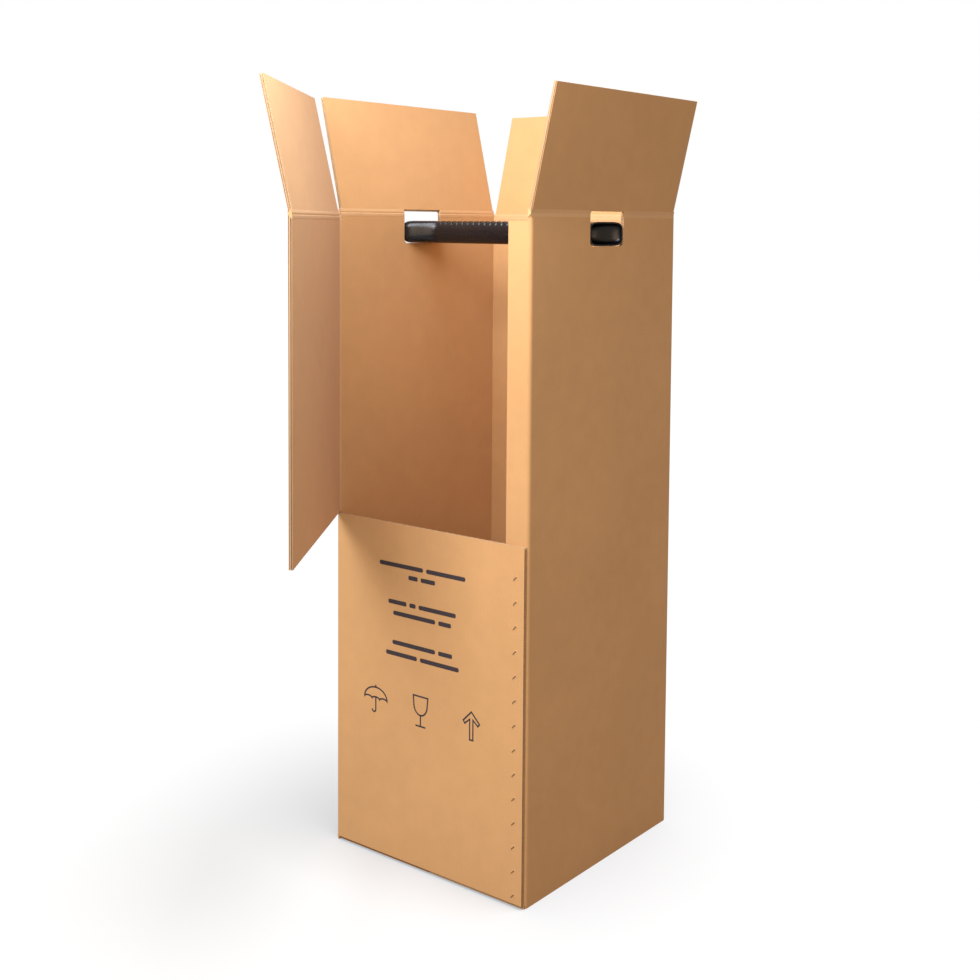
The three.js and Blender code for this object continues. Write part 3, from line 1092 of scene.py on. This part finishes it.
def buildWord(start, end, height):
    # a word's place: one plain bar with rounded ends and the slightly uneven edge of a flexible plate
    tall = printSettings["tall"] * mm
    lift = printSettings["lift"] * mm
    corner = printSettings["corner"] * mm
    columns = 24
    clearSelection()
    bpy.ops.mesh.primitive_grid_add(x_subdivisions=columns, y_subdivisions=1, size=2)
    bar = bpy.context.active_object
    for vertex in bar.data.vertices:
        along = (vertex.co.x + 1) / 2
        along = smoothStep(along) * 0.5 + along * 0.5
        fromEnd = min(along, 1 - along) * (end - start) * mm
        inside = max(1 - fromEnd / corner, 0)
        half = tall / 2 - corner * (1 - math.sqrt(1 - inside ** 2)) + 0.15 * mm * noise(along * 31, height)
        side = 1 if vertex.co.y > 0 else -1
        vertex.co = (left + (start + (end - start) * along) * mm, front - lift / 2, height * mm + side * half)
    thicken(bar, lift)
    bar.data.materials.append(printInk)
    return bar


print("stage: print")
words = []
for height, spans in printSettings["lines"]:
    for start, end in spans:
        words.append(buildWord(start, end, height))
bars = joinPieces(words, "printedLines")
marks = joinPieces(buildUmbrella() + buildGlass() + buildArrow(), "printedMarks")
for piece in (bars, marks):
    finishPiece(piece, "carton", "board")

# Camera, light and floor

cameraSettings = {
    "place": (1.7273, -2.2494, 1.2834),
    "yaw": 38.278,
    "pitch": -3.752,
    "roll": 0.431,
    "lens": 50.307,
    "shift": -0.18,
}


def buildCamera():
    yaw, pitch, roll = (math.radians(cameraSettings[key]) for key in ("yaw", "pitch", "roll"))
    ahead = Vector((-math.sin(yaw) * math.cos(pitch), math.cos(yaw) * math.cos(pitch), math.sin(pitch)))
    across = Vector((math.cos(yaw), math.sin(yaw), 0))
    upward = across.cross(ahead)
    turnedX = across * math.cos(roll) + upward * math.sin(roll)
    turnedY = upward * math.cos(roll) - across * math.sin(roll)
    data = bpy.data.cameras.new("camera")
    data.lens = cameraSettings["lens"]
    data.sensor_width = 36
    data.shift_y = cameraSettings["shift"]
    data.clip_end = 100
    camera = bpy.data.objects.new("camera", data)
    bpy.context.scene.collection.objects.link(camera)
    camera.matrix_world = axesMatrix(cameraSettings["place"], turnedX, turnedY, -ahead)
    bpy.context.scene.camera = camera


lightSettings = {
    "key": {
        "place": (0.2, -2.9, 2.7), "aim": (0, 0, 1.1),
        "size": 1.5, "power": 96, "tint": (1, 1, 1.02),
    },
    "fill": {
        "place": (1.25, -1.9, 1.5), "aim": (0.2, -0.2, 0.8),
        "size": 1.0, "power": 7.0, "tint": (1, 0.74, 0.5),
    },
    "top": {
        "place": (0.12, -0.6, 2.75), "aim": (-0.15, 0.1, 1.3),
        "size": 0.8, "power": 17, "tint": (0.92, 1, 1.14),
    },
    "inside": {
        "place": (0.2, -0.62, 1.8), "aim": (-0.24, 0.0, 1.05),
        "size": 0.5, "power": 5, "tint": (1, 1, 1),
    },
}
studioSettings = {
    "ambient": 0.5,
    "ambientColour": (1, 0.77, 0.58, 1),
    "floorSeen": 0.55,
    "floorBounce": 0.38,
    "shadeShare": 0.42,
    "shadeSpread": 30,
    "shadeTilt": 7,
    "whiteLevel": 1.04,
}
lampsLeaveOut = bpy.data.collections.new("lampsLeaveOut")


def buildLight(name):
    settings = lightSettings[name]
    data = bpy.data.lights.new(name, "AREA")
    data.size = settings["size"]
    data.energy = settings["power"]
    light = bpy.data.objects.new(name, data)
    bpy.context.scene.collection.objects.link(light)
    data.color = settings["tint"]
    light.visible_camera = False
    light.light_linking.receiver_collection = lampsLeaveOut
    target = Vector(settings["aim"])
    light.location = settings["place"]
    light.rotation_euler = (target - light.location).to_track_quat("-Z", "Y").to_euler()


def buildWorld():
    # even light on everything, and plain white behind it for the camera
    world = bpy.data.worlds.new("studio")
    bpy.context.scene.world = world
    world.use_nodes = True
    tree = world.node_tree
    tree.nodes.clear()
    even = {"Color": studioSettings["ambientColour"], "Strength": studioSettings["ambient"]}
    white = {"Color": (1, 1, 1, 1), "Strength": 1.0}
    leave = addNode(tree, "ShaderNodeOutputWorld", (600, 0))
    lit = addNode(tree, "ShaderNodeBackground", (0, 100), even)
    seen = addNode(tree, "ShaderNodeBackground", (0, -100), white)
    rays = addNode(tree, "ShaderNodeLightPath", (0, 400))
    mix = addNode(tree, "ShaderNodeMixShader", (300, 0))
    tree.links.new(rays.outputs["Is Camera Ray"], mix.inputs["Fac"])
    tree.links.new(lit.outputs[0], mix.inputs[1])
    tree.links.new(seen.outputs[0], mix.inputs[2])
    tree.links.new(mix.outputs[0], leave.inputs["Surface"])


def buildFloor():
    # a pale floor that glows for the camera alone, so that it meets the white behind it
    clearSelection()
    bpy.ops.mesh.primitive_plane_add(size=60, location=(0, 0, 0))
    floor = bpy.context.active_object
    floor.name = "floor"
    material = bpy.data.materials.new("paleFloor")
    material.use_nodes = True
    tree = material.node_tree
    tree.nodes.clear()
    seen, bounce = studioSettings["floorSeen"], studioSettings["floorBounce"]
    evenLight = [studioSettings["ambient"] * part for part in studioSettings["ambientColour"][:3]]
    glowBase = studioSettings["whiteLevel"] - studioSettings["shadeShare"]
    glowColour = {"Color": (*(glowBase - seen * light for light in evenLight), 1)}
    tones = {6: (bounce, bounce, bounce, 1), 7: (seen, seen, seen, 1)}
    leave = addNode(tree, "ShaderNodeOutputMaterial", (600, 0))
    diffuse = addNode(tree, "ShaderNodeBsdfDiffuse", (0, 100))
    glow = addNode(tree, "ShaderNodeEmission", (0, -100), glowColour)
    rays = addNode(tree, "ShaderNodeLightPath", (-500, 300))
    shade = addNode(tree, "ShaderNodeMix", (-200, 100), tones, data_type="RGBA")
    both = addNode(tree, "ShaderNodeAddShader", (300, 0))
    tree.links.new(rays.outputs["Is Camera Ray"], shade.inputs[0])
    tree.links.new(shade.outputs[2], diffuse.inputs["Color"])
    tree.links.new(rays.outputs["Is Camera Ray"], glow.inputs["Strength"])
    tree.links.new(diffuse.outputs[0], both.inputs[0])
    tree.links.new(glow.outputs[0], both.inputs[1])
    tree.links.new(both.outputs[0], leave.inputs["Surface"])
    floor.data.materials.append(material)

    # the lamps pass the floor by: the even light and the overhead lamp light it
    lampsLeaveOut.objects.link(floor)
    lampsLeaveOut.collection_objects[0].light_linking.link_state = "EXCLUDE"
    return floor


def buildFloorShade(floor):
    # a wide, even lamp overhead that lights the floor alone, for the shadow at the foot of the box
    lampFloorOnly = bpy.data.collections.new("lampFloorOnly")
    lampFloorOnly.objects.link(floor)
    data = bpy.data.lights.new("floorShade", "SUN")
    data.energy = studioSettings["shadeShare"] * math.pi / studioSettings["floorSeen"]
    data.angle = math.radians(studioSettings["shadeSpread"])
    overhead = bpy.data.objects.new("floorShade", data)
    bpy.context.scene.collection.objects.link(overhead)
    overhead.location = (0, 0, 3)
    overhead.rotation_euler = (0, math.radians(studioSettings["shadeTilt"]), 0)
    overhead.light_linking.receiver_collection = lampFloorOnly


print("stage: camera and light")
buildCamera()
for name in ("key", "fill", "top", "inside"):
    buildLight(name)
buildWorld()
buildFloorShade(buildFloor())
bpy.context.scene.view_settings.view_transform = "Standard"
